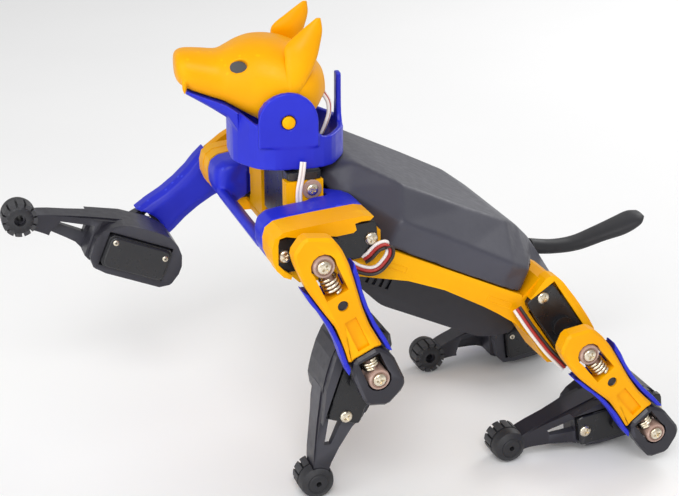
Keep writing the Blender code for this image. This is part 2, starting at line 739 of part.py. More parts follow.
def tail():
    """The tail: a flat tapering paddle that curves up behind the body."""
    rings = []
    for index, (x, z, high, wide) in enumerate(TAIL_LINE):
        before = TAIL_LINE[max(index - 1, 0)]
        after = TAIL_LINE[min(index + 1, len(TAIL_LINE) - 1)]
        ahead = Vector((after[0] - before[0], after[1] - before[1])).normalized()
        up = Vector((ahead.y, -ahead.x))
        ring = []
        for angle in range(0, 360, 45):
            across = wide * math.cos(math.radians(angle))
            rise = high * math.sin(math.radians(angle))
            ring.append((x + up.x * rise, across, z + up.y * rise))
        rings.append(ring)
    return carved(loft(rings), cover_body(-GAP, 0))


BATTERY_TOP = 2.6
BATTERY_HALF = 21.5


def battery_pack():
    """The battery box that slides under the belly, with grip ribs near its front end."""
    outline = [(24, BATTERY_TOP), (24, -6.4), (18, -11), (8, -14.6), (-30, -14.6), (-36, -12.6),
               (-41, -9.6), (-42.5, -2), (-42.5, BATTERY_TOP)]
    body = prism(rounded(outline, 2, 2), -BATTERY_HALF, BATTERY_HALF)
    ribs = [block((x, side * BATTERY_HALF - 0.9, -9), (x + 1.2, side * BATTERY_HALF + 0.9, -2))
            for x in (8, 10.5, 13, 15.5) for side in (-1, 1)]
    pocket = cylinder(2.7, -60, -40.9, (0, -3.5), "X", 14)
    return carved(body, *ribs, pocket)


def power_button():
    """The push button in the battery's rear end."""
    return turned([(-43.3, 2.0), (-43.0, 2.3), (-41.6, 2.3)], (0, -3.5), "X", 14)


# ---------------------------------------------------------------- neck and head

NECK_HALF_X = 17.6
NECK_HALF_Y = 20
NECK_WALL = 1.8
RIM_Z = 38
WEB_Z = 46.4
PIN_X = 1.7
PIN_Z = 52.8
PIN_RADIUS = 1.95
LOBE_RADIUS = 9
FIN_TOP_Z = 62.4
FIN_THICK = 1.6
NOTCH_Z = 47.3
MOUTH_LINE = [
    (10.3, 51.3), (15.6, 54.4), (19.2, 56.5), (22.8, 57.6), (28.6, 59.5), (32.8, 61.1), (40, 62.1),
]
JAW_STATIONS = [
    # x, half-width, bottom z, top z
    (8, 16.4, 42.0, 52.0), (15.8, 13.4, 45.6, 55.6), (18.6, 11.8, 51.4, 57.0), (23, 9.6, 54.2, 58.6),
    (27, 8.4, 56.6, 60.0), (30.6, 6.6, 58.6, 61.0),
]


def neck_horn():
    """The neck servo's horn, with the bar that carries the neck piece."""
    low = NECK_SERVO_LOW + SERVO_HEIGHT + SERVO_DOME + 0.4
    hub = cylinder(3.5, low, WEB_Z - GAP, axis="Z", steps=16)
    bar = block((-2.2, -13, low + 1), (2.2, 13, WEB_Z - GAP))
    bore = cylinder(2.6, low - 1, low + 1.9, axis="Z", steps=12)
    return carved(fused(hub, bar), bore)


def neck_plan(wall):
    half = [(NECK_HALF_X, 0), (NECK_HALF_X, 8), (11.5, 17.5), (6, NECK_HALF_Y), (-6, NECK_HALF_Y), (-12, 17.5),
            (-NECK_HALF_X, 7)]
    outline = half + [(a, -b) for a, b in reversed(half[1:])]
    return rounded(inset(outline, wall) if wall else outline, 3, 2)


def jaw_and_neck():
    """The blue neck, lower jaw, cheek lobes and rear fin, turned by the neck horn."""
    skirt = prism(neck_plan(0), RIM_Z, FIN_TOP_Z, "Z")
    core = prism(neck_plan(NECK_WALL), RIM_Z - 3, FIN_TOP_Z + 3, "Z")
    ring = carved(skirt, core)
    lobe_low, lobe_high = PIN_X - LOBE_RADIUS, PIN_X + LOBE_RADIUS
    web = block((-8, -NECK_HALF_Y + 1, WEB_Z), (8, NECK_HALF_Y - 1, WEB_Z + 1.8))
    lobe_outline = [(lobe_low, 45)] + arc((PIN_X, PIN_Z), LOBE_RADIUS, 180, 0, 14) + [(lobe_high, 45)]
    lobes = []
    for side in (1, -1):
        low, high = sorted((side * (NECK_HALF_Y - NECK_WALL), side * (NECK_HALF_Y + 0.1)))
        lobes.append(prism(lobe_outline, low, high))
    rings = []
    for x, half, low, high in JAW_STATIONS:
        rise = low + (high - low) * 0.3
        half_section = [(half, high), (half * 0.86, rise), (half * 0.55, low)]
        section = half_section + [(-y, z) for y, z in reversed(half_section)]
        rings.append([(x, y, z) for y, z in section])
    jaw = carved(loft(rings), block((4, -18.1, 40), (NECK_HALF_X - NECK_WALL, 18.1, 60)))
    above_mouth = prism(MOUTH_LINE + [(40, 90), (lobe_high - 0.4, 90)], -30, 30)
    behind = [(-30, NOTCH_Z), (lobe_low - 2.6, NOTCH_Z)] + arc((lobe_low - 2.6, NOTCH_Z + 2.6), 2.6, 270, 360, 3)
    fin_outline = both_sides([(46, 5.0), (NOTCH_Z, 3.8), (49.5, 2.7), (53, 2.1), (90, 1.5)])
    fin = prism([(y, z) for z, y in fin_outline], -30, -NECK_HALF_X + FIN_THICK, "X")
    notch = carved(prism(behind + [(lobe_low, 90), (-30, 90)], -30, 30), fin)
    lobe_room = carved(block((lobe_low - 0.1, -30, 46), (lobe_high + 0.1, 30, 90)), prism(lobe_outline, -30, 30))
    shell = carved(fused(ring, jaw), above_mouth, notch, lobe_room)
    solid = fused(shell, web, *lobes)
    pins = cylinder(PIN_RADIUS + GAP, -30, 30, (PIN_X, PIN_Z), steps=16)
    screw = cylinder(1.3, WEB_Z - 2, WEB_Z + 4, axis="Z", steps=10)
    return carved(solid, pins, screw)


HEAD_STATIONS = [
    # x, top z, bottom z, half-width
    (33.4, 69.6, 64.0, 4.2), (32.6, 71.0, 62.0, 6.2), (30.4, 71.7, 60.0, 7.8), (26.0, 71.5, 57.4, 8.7),
    (20.6, 71.0, 55.0, 9.9), (17.4, 72.2, 53.4, 11.6), (14.0, 73.8, 51.6, 13.4), (9.5, 74.9, 49.2, 15.4),
    (4.0, 74.7, 47.0, 16.8), (-1.0, 73.4, 46.4, 17.3), (-5.0, 71.2, 48.0, 16.6), (-8.6, 68.2, 51.0, 13.8),
    (-11.4, 64.6, 55.0, 8.6),
]
HEAD_WALL = 1.6


def head_form(wall, steps, every):
    rings = []
    for x, top, bottom, half in HEAD_STATIONS[::every]:
        middle = (top + bottom) / 2
        high = (top - bottom) / 2 - wall
        wide = half - wall
        ring = []
        for step in range(steps):
            angle = 2 * math.pi * step / steps
            across = math.copysign(abs(math.cos(angle)) ** 0.75, math.cos(angle)) * wide
            ring.append((x, across, middle + high * math.sin(angle)))
        rings.append(ring)
    return loft(rings)


EAR_LEVELS = [
    # z, front x, back x, inner y, outer y
    (61.0, 1.6, -2.6, 15.6, 17.6), (66.0, 1.8, -5.6, 14.0, 17.4), (70.5, 1.8, -7.8, 12.4, 16.6),
    (74.4, 1.4, -9.0, 11.2, 15.6),
    (78.4, -3.2, -9.8, 11.4, 13.8), (82.0, -8.0, -9.4, 11.7, 12.5),
]


def ear(side):
    rings = []
    for z, front, back, inner, outer in EAR_LEVELS:
        middle = (front + back) / 2
        outline = [(front, (inner + outer) / 2), (middle, outer), (back, (inner + outer) / 2 - 0.4), (middle, inner)]
        rings.append([(x, side * y, z) for x, y in outline])
    return loft(rings)


EYE_LINE = [(12.6, 69.2), (13.6, 67.8), (16, 67.5), (17.6, 68.6), (17.4, 70.2), (15.4, 71), (13.4, 70.6)]


def head_shell():
    """The hollow yellow head with its ears, eye pits and the pins that it tips on."""
    inner = moved(head_form(HEAD_WALL, 12, 2), shift(-0.2, 0, -0.4) @ Matrix.Diagonal((0.955, 1, 1, 1)))
    below = [(40, 40), (40, 62.6), (32.8, 61.6), (28.6, 60.0), (22.8, 58.1), (19.2, 57.0), (15.6, 54.9), (9.8, 51.6),
             (5.4, 49.4), (-1.2, 49.4), (-6.4, 52.4), (-9.6, 57.0), (-14, 61.5), (-14, 40)]
    shell = carved(head_form(0, 16, 1), inner, prism(below, -30, 30))
    additions = [ear(1), ear(-1)]
    for side in (1, -1):
        low, high = sorted((side * 13.2, side * (NECK_HALF_Y - NECK_WALL - GAP)))
        additions.append(cylinder(3.6, low, high, (PIN_X, PIN_Z), steps=14))
        low, high = sorted((side * 13.6, side * (NECK_HALF_Y + 0.4)))
        additions.append(cylinder(PIN_RADIUS, low, high, (PIN_X, PIN_Z), steps=16))
    shell = fused(shell, *additions)
    eyes = []
    for side in (1, -1):
        low, high = sorted((side * 11.4, side * 20))
        eyes.append(prism(EYE_LINE, low, high))
    return carved(shell, *eyes)


# ---------------------------------------------------------------- assembly

def empty(name, parent=None, location=(0, 0, 0), matrix=None, mirror=1):
    """A frame that pieces hang from; its Y axis can be mirrored."""
    made = bpy.data.objects.new(name, None)
    bpy.context.scene.collection.objects.link(made)
    made.parent = parent
    made.matrix_local = shift(*location) @ (matrix or Matrix()) @ Matrix.Diagonal((1, mirror, 1, 1))
    return made


def node(name, mesh, finish, parent, matrix=None):
    """A named piece with its material, hung from a frame."""
    mesh.materials.clear()
    mesh.materials.append(finish)
    mesh.shade_smooth()
    mesh.set_sharp_from_angle(angle=math.radians(35))
    made = bpy.data.objects.new(name, mesh)
    bpy.context.scene.collection.objects.link(made)
    made.parent = parent
    made.matrix_local = matrix or Matrix()
    return made


def build_torso(finish, body):
    node("body_frame", body_frame(), finish["yellow_plastic"], body)
    node("electronics_tray", electronics_tray(), finish["charcoal_plastic"], body)
    node("main_board", main_board(), finish["circuit_board"], body)
    node("back_cover", back_cover(), finish["charcoal_plastic"], body)
    node("chest_cover", chest_cover(), finish["blue_plastic"], body)
    node("neck_servo", neck_servo(), finish["servo_plastic"], body)
    node("tail", tail(), finish["black_rubber"], body)
    node("battery_pack", battery_pack(), finish["charcoal_plastic"], body)
    node("power_button", power_button(), finish["servo_plastic"], body)


def build_head(finish, body):
    level = empty("level_frame", body, matrix=LEVEL_IN_BODY)
    turn = Matrix.Rotation(math.radians(NECK_PAN), 4, "Z")
    neck = empty("neck_axis", level, (NECK_X, 0, 0), turn)
    node("neck_horn", neck_horn(), finish["horn_plastic"], neck)
    node("jaw_and_neck", jaw_and_neck(), finish["blue_plastic"], neck)
    node("head_shell", head_shell(), finish["yellow_plastic"], neck)


def build_legs(finish, body):
    thigh_pieces = {
        "hip_horn": (horn(HIP_SLOT), "horn_plastic", 0),
        "hip_spring": (spring(HIP_SLOT), "spring_steel", 0),
        "thigh_plate": (thigh_plate(), "yellow_plastic", 0),
        "knee_plate": (knee_plate(), "charcoal_plastic", 0),
        "thigh_cover": (thigh_cover(), "blue_plastic", 0),
        "leg_cable": (leg_cable(), "cable_jacket", 0),
        "knee_horn": (horn(KNEE_SLOT), "horn_plastic", THIGH),
        "knee_spring": (spring(KNEE_SLOT), "spring_steel", THIGH),
    }
    shank_pieces = {
        "knee_servo": (knee_servo(), "servo_plastic"),
        "shank": (shank(), "charcoal_plastic"),
        "foot": (foot(), "black_rubber"),
    }
    hip_servo_mesh = hip_servo()
    for leg, (x, side, thigh_angle, knee_angle) in KNEES_AND_HIPS.items():
        mount = empty(leg + "_mount", body, (x, 0, 0), mirror=side)
        facing = MIRROR_X if x < 0 else Matrix()
        node(leg + "_hip_servo", hip_servo_mesh, finish["servo_plastic"], mount, facing)
        hip = empty(leg + "_hip", mount, matrix=tilt(thigh_angle))
        for name, (mesh, slot_name, along) in thigh_pieces.items():
            node(f"{leg}_{name}", mesh, finish[slot_name], hip, shift(along, 0, 0))
        knee = empty(leg + "_knee", hip, (THIGH, 0, 0), tilt(knee_angle))
        for name, (mesh, slot_name) in shank_pieces.items():
            node(f"{leg}_{name}", mesh, finish[slot_name], knee)


def clear_scene():
    for item in list(bpy.data.objects):
        bpy.data.objects.remove(item)


def main():
    clear_scene()
    finish = make_materials()
    body = empty("body", location=BODY_ORIGIN, matrix=tilt(BODY_PITCH))
    build_torso(finish, body)
    build_head(finish, body)
    build_legs(finish, body)


main()
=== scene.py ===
"""The looks of the quadruped robot dog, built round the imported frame.

Lengths are millimetres and angles are degrees, as in the part; MM turns them into metres.
Each piece is drawn in the frame of the limb it belongs to, and those frames are worked out
from the joints.
"""
import json
import math

import bmesh
import bpy
from mathutils import Matrix, Vector

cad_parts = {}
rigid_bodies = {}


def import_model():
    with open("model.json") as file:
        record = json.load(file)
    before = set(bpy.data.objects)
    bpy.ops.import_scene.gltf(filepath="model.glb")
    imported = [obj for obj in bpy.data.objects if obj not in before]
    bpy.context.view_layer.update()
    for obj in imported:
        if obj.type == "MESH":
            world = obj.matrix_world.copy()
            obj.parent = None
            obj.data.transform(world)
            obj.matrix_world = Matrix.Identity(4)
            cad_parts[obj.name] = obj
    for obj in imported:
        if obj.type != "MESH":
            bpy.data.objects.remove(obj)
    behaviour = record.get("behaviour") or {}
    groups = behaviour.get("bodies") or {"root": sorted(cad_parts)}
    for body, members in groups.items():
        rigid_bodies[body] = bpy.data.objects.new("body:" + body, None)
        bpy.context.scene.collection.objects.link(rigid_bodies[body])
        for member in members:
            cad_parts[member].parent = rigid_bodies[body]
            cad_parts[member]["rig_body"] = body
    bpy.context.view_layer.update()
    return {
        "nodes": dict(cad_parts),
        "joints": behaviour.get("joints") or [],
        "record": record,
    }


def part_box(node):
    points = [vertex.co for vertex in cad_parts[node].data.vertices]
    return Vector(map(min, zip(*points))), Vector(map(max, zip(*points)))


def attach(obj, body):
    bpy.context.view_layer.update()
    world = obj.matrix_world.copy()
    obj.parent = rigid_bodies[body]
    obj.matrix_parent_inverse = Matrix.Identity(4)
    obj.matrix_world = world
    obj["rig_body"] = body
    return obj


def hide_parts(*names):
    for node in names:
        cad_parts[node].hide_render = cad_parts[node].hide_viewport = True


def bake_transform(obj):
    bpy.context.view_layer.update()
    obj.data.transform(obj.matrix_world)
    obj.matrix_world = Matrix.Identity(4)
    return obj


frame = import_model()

MM = 0.001
NODES = frame["nodes"]
JOINTS = {joint["name"]: joint for joint in frame["joints"]}
LEGS = ("front_left", "front_right", "rear_left", "rear_right")

# Camera: where it stands round the robot, in radians from +Y towards +X and up from level
CAMERA_TURN = 0.331
CAMERA_RISE = 0.384
CAMERA_DISTANCE = 468.7
CAMERA_TARGET = (17.9, -5.80, -0.05)
CAMERA_LENS = 75.1

# Sizes shared with the part
THIGH = 42
SHANK = 44.3
SERVO_TILT = 30.3
SERVO_LOW_Y = 23.6
SERVO_HALF_WIDTH = 5.6
SERVO_NEAR_END = 5.6
SERVO_FAR_END = 16.2
SERVO_HOLES = (-7.8, 18.9)
SHAFT_END_Y = 50.2
EAR_TOP_Y = 42.4
PLATE_TOP_Y = 55.2
HORN_LOW_Y = 48.8
HORN_TOP_Y = 55.6
HUB_RADIUS = 3.3
HIP_SLOT = 10.3
KNEE_SLOT = -8
END_ROOM = 1.4
SPRING_Y = 52.6
SPRING_START = 4.3
PIN_X = 1.7
PIN_Z = 52.8
PIN_RADIUS = 1.95
RAIL_TOP_Y = 40
FOOT_Y = 35
FOOT_HALF_WIDTH = 5
PEG_X = 14.2


# ---------------------------------------------------------------- frames

def joint_point(name):
    """Where a joint's axis passes, in metres."""
    return Vector(JOINTS[name]["pos_m"])


def tilted(x, z, side=1):
    """Axes whose X points along (x, z) in the XZ plane and whose Y points outwards."""
    ahead = Vector((x, 0, z)).normalized()
    matrix = Matrix.Identity(4)
    matrix.col[0][:3] = ahead
    matrix.col[1][:3] = (0, side, 0)
    matrix.col[2][:3] = (-ahead.z, 0, ahead.x)
    return matrix


FRONT_HIP = joint_point("front_left_hip")
REAR_HIP = joint_point("rear_left_hip")
HIP_LINE = FRONT_HIP - REAR_HIP
MIDDLE = (FRONT_HIP + REAR_HIP) / 2
ORIGIN = Vector((MIDDLE.x, 0, MIDDLE.z))
BODY = Matrix.Translation(ORIGIN) @ tilted(HIP_LINE.x, HIP_LINE.z)
HIP_X = HIP_LINE.length / 2 / MM


def neck_frame():
    """The neck's axis at the height of the body's origin, turned with the neck."""
    outwards = -Vector(JOINTS["mouth_hinge"]["axis"]).normalized()
    matrix = Matrix.Identity(4)
    matrix.col[0][:3] = (outwards.y, -outwards.x, 0)
    matrix.col[1][:3] = outwards
    pan = joint_point("neck_pan")
    return Matrix.Translation((pan.x, 0, ORIGIN.z)) @ matrix


NECK = neck_frame()


def side_of(leg):
    """1 for a left leg and -1 for a right one."""
    return 1 if leg.endswith("left") else -1


def hip_frame(leg):
    """The hip's axis, with X along the thigh."""
    hip = joint_point(leg + "_hip")
    knee = joint_point(leg + "_knee")
    return Matrix.Translation((hip.x, 0, hip.z)) @ tilted(knee.x - hip.x, knee.z - hip.z, side_of(leg))


def knee_frame(leg):
    """The knee's axis, with X along the shank."""
    knee = joint_point(leg + "_knee")
    low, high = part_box(leg + "_foot")
    foot = (low + high) / 2
    return Matrix.Translation((knee.x, 0, knee.z)) @ tilted(foot.x - knee.x, foot.z - knee.z, side_of(leg))


def servo_frame(leg):
    """The hip servo's shaft axis, with X along its case."""
    front = leg.startswith("front")
    turn = math.radians(180 - SERVO_TILT if front else SERVO_TILT)
    flip = 1 if front else -1
    place = BODY @ Matrix.Translation(Vector((flip * HIP_X, 0, 0)) * MM)
    matrix = tilted(math.cos(turn), math.sin(turn), side_of(leg))
    if not front:
        matrix.col[2][:3] = -matrix.col[2].to_3d()
    return place @ matrix


# ---------------------------------------------------------------- shapes

# Distances in metres under which points are welded
SOFT_WELD = 0.00001
EDGE_WELD = 0.00002

def at(axis, a, b, height):
    """The point that stands at a height along an axis over (a, b)."""
    return {"X": (height, a, b), "Y": (a, height, b), "Z": (a, b, height)}[axis]


def angles(steps):
    """Evenly spaced angles round a full turn, in radians."""
    return [2 * math.pi * step / steps for step in range(steps)]


def arc(centre, radius, start, end, steps):
    """Points along a circle between two angles in degrees, with both ends."""
    points = []
    for step in range(steps + 1):
        angle = math.radians(start + (end - start) * step / steps)
        points.append((centre[0] + radius * math.cos(angle), centre[1] + radius * math.sin(angle)))
    return points


def rounded(outline, radius, steps=5):
    """The outline with its corners cut to short curves."""
    points = []
    for index, corner in enumerate(outline):
        corner = Vector(corner)
        before = Vector(outline[index - 1]) - corner
        after = Vector(outline[(index + 1) % len(outline)]) - corner
        reach = min(radius, before.length * 0.45, after.length * 0.45)
        start = corner + before.normalized() * reach
        end = corner + after.normalized() * reach
        for step in range(steps + 1):
            along = step / steps
            points.append(tuple(start.lerp(corner, along).lerp(corner.lerp(end, along), along)))
    return points


def mesh_of(vertices, faces):
    mesh = bpy.data.meshes.new("shape")
    mesh.from_pydata([Vector(vertex) * MM for vertex in vertices], [], faces)
    work = bmesh.new()
    work.from_mesh(mesh)
    bmesh.ops.recalc_face_normals(work, faces=work.faces)
    work.to_mesh(mesh)
    work.free()
    return mesh


def loft(rings):
    """A closed solid through rings of equal numbers of points."""
    size = len(rings[0])
    faces = [list(range(size))]
    for level in range(len(rings) - 1):
        low = level * size
        for side in range(size):
            after = (side + 1) % size
            faces.append([low + side, low + after, low + size + after, low + size + side])
    faces.append(list(range((len(rings) - 1) * size, len(rings) * size)))
    return mesh_of([point for ring in rings for point in ring], faces)


def prism(outline, low, high, axis="Y"):
    return loft([[at(axis, a, b, height) for a, b in outline] for height in (low, high)])


def rectangle(low_a, high_a, low_b, high_b):
    return [(low_a, low_b), (high_a, low_b), (high_a, high_b), (low_a, high_b)]


def block(low, high):
    return prism(rectangle(low[0], high[0], low[1], high[1]), low[2], high[2], "Z")


def turned(profile, centre=(0, 0), axis="Y", steps=32):
    """A round solid from heights and radii along an axis."""
    rings = []
    for height, radius in profile:
        ring = arc(centre, radius, 0, 360, steps)[:-1]
        rings.append([at(axis, a, b, height) for a, b in ring])
    return loft(rings)


def through(points, per_span=6):
    """Points of a smooth curve through the given ones, which may have any number of coordinates."""
    route = []
    last = len(points) - 1
    for span in range(last):
        p0, p1, p2, p3 = (Vector(points[min(max(span + i, 0), last)]) for i in (-1, 0, 1, 2))
        for step in range(per_span):
            t = step / per_span
            bend = (2 * p0 - 5 * p1 + 4 * p2 - p3) * t * t
            route.append(0.5 * (2 * p1 + (p2 - p0) * t + bend + (3 * p1 - p0 - 3 * p2 + p3) * t ** 3))
    route.append(Vector(points[last]))
    return route


def combined(operation, shape, tools):
    """One mesh from a shape and the tools."""
    collection = bpy.context.scene.collection
    base = bpy.data.objects.new("base", shape)
    collection.objects.link(base)
    used = [base]
    for tool in tools:
        cutter = bpy.data.objects.new("tool", tool)
        collection.objects.link(cutter)
        used.append(cutter)
        modifier = base.modifiers.new(operation, "BOOLEAN")
        modifier.operation = operation
        modifier.object = cutter
    graph = bpy.context.evaluated_depsgraph_get()
    graph.update()
    mesh = bpy.data.meshes.new_from_object(base.evaluated_get(graph))
    for item in used:
        bpy.data.objects.remove(item)
    return mesh


def fused(shape, *others):
    return combined("UNION", shape, others)


def carved(shape, *cutters):
    return combined("DIFFERENCE", shape, cutters)


def softened(mesh, voxel, rounds):
    """The mesh made anew from small even faces, with its edges smoothed."""
    item = bpy.data.objects.new("soft", mesh)
    bpy.context.scene.collection.objects.link(item)
    weld = item.modifiers.new("weld", "WELD")
    weld.merge_threshold = SOFT_WELD
    remesh = item.modifiers.new("remesh", "REMESH")
    remesh.mode = "VOXEL"
    remesh.voxel_size = voxel * MM
    smooth = item.modifiers.new("smooth", "SMOOTH")
    smooth.factor = 0.5
    smooth.iterations = rounds
    graph = bpy.context.evaluated_depsgraph_get()
    graph.update()
    made = bpy.data.meshes.new_from_object(item.evaluated_get(graph))
    bpy.data.objects.remove(item)
    made.shade_smooth()
    return made


def moved(mesh, matrix):
    """The mesh moved in place, with its faces kept outwards when the matrix mirrors it."""
    mesh.transform(matrix)
    if matrix.determinant() < 0:
        mesh.flip_normals()
    return mesh


def shift(x, y, z):
    """A move in millimetres."""
    return Matrix.Translation(Vector((x, y, z)) * MM)


# ---------------------------------------------------------------- materials

def new_material(name):
    made = bpy.data.materials.new(name)
    made.use_nodes = True
    tree = made.node_tree
    return made, tree, tree.nodes["Principled BSDF"]


def noise(tree, scale, detail=3.0):
    """A noise whose scale is in features per metre of the piece's own space."""
    place = tree.nodes.new("ShaderNodeTexCoord")
    texture = tree.nodes.new("ShaderNodeTexNoise")
    texture.inputs["Scale"].default_value = scale
    texture.inputs["Detail"].default_value = detail
    tree.links.new(place.outputs["Object"], texture.inputs["Vector"])
    return texture.outputs["Fac"]


def spread(tree, value, low, high, to_low, to_high):
    """A value mapped from one range to another."""
    node = tree.nodes.new("ShaderNodeMapRange")
    for name, number in (("From Min", low), ("From Max", high), ("To Min", to_low), ("To Max", to_high)):
        node.inputs[name].default_value = number
    tree.links.new(value, node.inputs["Value"])
    return node.outputs["Result"]


def mixed(tree, factor, first, second):
    """A colour between two, each a tuple or another node's colour."""
    node = tree.nodes.new("ShaderNodeMix")
    node.data_type = "RGBA"
    tree.links.new(factor, node.inputs[0])
    for socket, colour in ((node.inputs[6], first), (node.inputs[7], second)):
        if isinstance(colour, tuple):
            socket.default_value = (*colour, 1)
        else:
            tree.links.new(colour, socket)
    return node.outputs[2]


def plastic(name, colour, deep, worn, roughness, grain, gloss):
    """Moulded plastic: cloudy colour, paler edges and a fine satin grain."""
    made, tree, shader = new_material(name)
    cloud = spread(tree, noise(tree, 45), 0.35, 0.65, 0.0, 1.0)
    base = mixed(tree, cloud, colour, deep)
    shape = tree.nodes.new("ShaderNodeNewGeometry")
    edge = spread(tree, shape.outputs["Pointiness"], 0.53, 0.60, 0.0, 0.6)
    base = mixed(tree, edge, base, worn)
    tree.links.new(base, shader.inputs["Base Color"])
    rough = spread(tree, noise(tree, 420, 5), 0.3, 0.7, roughness - 0.05, roughness + 0.06)
    tree.links.new(rough, shader.inputs["Roughness"])
    bump = tree.nodes.new("ShaderNodeBump")
    bump.inputs["Strength"].default_value = grain
    bump.inputs["Distance"].default_value = 0.0001
    tree.links.new(noise(tree, 2600, 2), bump.inputs["Height"])
    tree.links.new(bump.outputs["Normal"], shader.inputs["Normal"])
    shader.inputs["IOR"].default_value = 1.48
    shader.inputs["Specular IOR Level"].default_value = gloss
    return made


def metal(name, colour, deep, roughness):
    """Plated metal with fine tooling marks and slight tarnish."""
    made, tree, shader = new_material(name)
    tarnish = spread(tree, noise(tree, 700, 4), 0.4, 0.7, 0.0, 0.8)
    tree.links.new(mixed(tree, tarnish, colour, deep), shader.inputs["Base Color"])
    shader.inputs["Metallic"].default_value = 1.0
    rough = spread(tree, noise(tree, 1800, 3), 0.3, 0.7, roughness, roughness + 0.15)
    tree.links.new(rough, shader.inputs["Roughness"])
    bump = tree.nodes.new("ShaderNodeBump")
    bump.inputs["Strength"].default_value = 0.1
    bump.inputs["Distance"].default_value = 0.00005
    tree.links.new(noise(tree, 4000, 2), bump.inputs["Height"])
    tree.links.new(bump.outputs["Normal"], shader.inputs["Normal"])
    return made


PLASTICS = [
    # name, colour, cloudy colour, worn edges, roughness, grain, gloss
    ("yellow_plastic", (0.92, 0.41, 0.0), (0.86, 0.36, 0.0), (0.97, 0.48, 0.0), 0.40, 0.04, 0.15),
    ("blue_plastic", (0.016, 0.026, 0.60), (0.012, 0.018, 0.50), (0.05, 0.08, 0.80), 0.38, 0.05, 0.35),
    ("charcoal_plastic", (0.019, 0.018, 0.027), (0.014, 0.013, 0.020), (0.06, 0.06, 0.075), 0.38, 0.1, 0.5),
    ("cover_plastic", (0.056, 0.056, 0.076), (0.046, 0.046, 0.064), (0.10, 0.10, 0.125), 0.46, 0.12, 0.5),
    ("servo_plastic", (0.012, 0.012, 0.014), (0.008, 0.008, 0.01), (0.05, 0.05, 0.055), 0.3, 0.05, 0.5),
    ("black_rubber", (0.02, 0.02, 0.024), (0.014, 0.014, 0.017), (0.06, 0.06, 0.065), 0.55, 0.15, 0.5),
    ("horn_plastic", (0.40, 0.25, 0.20), (0.33, 0.21, 0.17), (0.62, 0.45, 0.38), 0.3, 0.05, 0.5),
    ("circuit_board", (0.01, 0.09, 0.04), (0.008, 0.06, 0.03), (0.05, 0.2, 0.1), 0.35, 0.1, 0.5),
    ("wire_red", (0.42, 0.02, 0.015), (0.34, 0.015, 0.01), (0.6, 0.08, 0.06), 0.4, 0.04, 0.5),
    ("wire_white", (0.86, 0.80, 0.76), (0.78, 0.70, 0.67), (0.95, 0.92, 0.9), 0.42, 0.04, 0.5),
    ("wire_black", (0.03, 0.02, 0.018), (0.02, 0.014, 0.012), (0.08, 0.06, 0.05), 0.4, 0.04, 0.5),
]
METALS = [
    # name, colour, tarnish, roughness
    ("spring_steel", (0.86, 0.78, 0.62), (0.66, 0.55, 0.38), 0.16),
    ("screw_steel", (0.83, 0.76, 0.62), (0.6, 0.5, 0.36), 0.2),
]
FINISH = {row[0]: plastic(*row) for row in PLASTICS}
FINISH.update({row[0]: metal(*row) for row in METALS})


# ---------------------------------------------------------------- pieces

EDGE_ANGLE = 38


def piece(name, mesh, finish, body, place, replaces=(), edge=0.0):
    """A finished piece that rides on a body, with its edges rounded where an edge width is given."""
    mesh.materials.clear()
    mesh.materials.append(FINISH[finish])
    made = bpy.data.objects.new(name, mesh)
    bpy.context.scene.collection.objects.link(made)
    made.matrix_world = place
    if edge:
        soften_edges(made, edge)
    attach(made, body)
    if replaces:
        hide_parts(*replaces)
    return made


def soften_edges(item, width, weld=False):
    """Rounds the sharp edges of a piece."""
    if weld:
        merge = item.modifiers.new("weld", "WELD")
        merge.merge_threshold = EDGE_WELD
    bevel = item.modifiers.new("edges", "BEVEL")
    bevel.limit_method = "ANGLE"
    bevel.angle_limit = math.radians(EDGE_ANGLE)
    bevel.width = width * MM
    bevel.segments = 2
    bevel.harden_normals = True


def node_copy(name):
    """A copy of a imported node's mesh."""
    return NODES[name].data.copy()


def body_of(node):
    """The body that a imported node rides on."""
    return NODES[node]["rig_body"]


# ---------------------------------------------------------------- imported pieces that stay

def finish_of(node):
    """The material slot that the record gives a node."""
    for subpart in frame["record"]["subparts"]:
        if subpart["node"] == node:
            return subpart["material_slot"]
    return "charcoal_plastic"


EDGE_WIDTHS = {"battery_pack": 0.7, "shank": 0.5, "body_frame": 0.35, "thigh_plate": 0.5, "knee_plate": 0.5}
PLAIN_EDGE_WIDTH = 0.2


def kind(node):
    """A node's name without its leg."""
    for leg in LEGS:
        if node.startswith(leg):
            return node[len(leg) + 1:]
    return node


def dress_packed_nodes():
    """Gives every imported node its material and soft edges."""
    for name, item in NODES.items():
        finish = finish_of(name)
        item.data.materials.clear()
        item.data.materials.append(FINISH.get(finish, FINISH["wire_red"]))
        soften_edges(item, EDGE_WIDTHS.get(kind(name), PLAIN_EDGE_WIDTH), weld=True)


SOFT_NODES = {
    # kind of node: finish, width of the small faces, rounds of smoothing
    "chest_cover": ("blue_plastic", 0.4, 14),
    "jaw_and_neck": ("blue_plastic", 0.36, 5),
    "thigh_cover": ("blue_plastic", 0.36, 8),
    "back_cover": ("cover_plastic", 0.7, 12),
}


def build_soft_nodes():
    """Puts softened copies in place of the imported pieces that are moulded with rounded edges."""
    for name, item in NODES.items():
        if kind(name) in SOFT_NODES:
            finish, cell, rounds = SOFT_NODES[kind(name)]
            mesh = softened(node_copy(name), cell, rounds)
            piece(name + "_soft", mesh, finish, body_of(name), item.matrix_world.copy(), [name])


# ---------------------------------------------------------------- hardware

# A screw head's dome, as shares of its rise and of its radius, and the cross cut in it
HEAD_RISE = 0.5
HEAD_DOME = ((0.35, 1), (0.7, 0.86), (0.92, 0.6), (1, 0.3))
CROSS_REACH = 0.56
CROSS_HALF_WIDTH = 0.15
CROSS_FLOOR = 0.3
HORN_SCREW_RADIUS = 2.1
EAR_SCREW_RADIUS = 2.0
CASE_SCREW_RADIUS = 1.0
POST_SCREW_RADIUS = 1.9

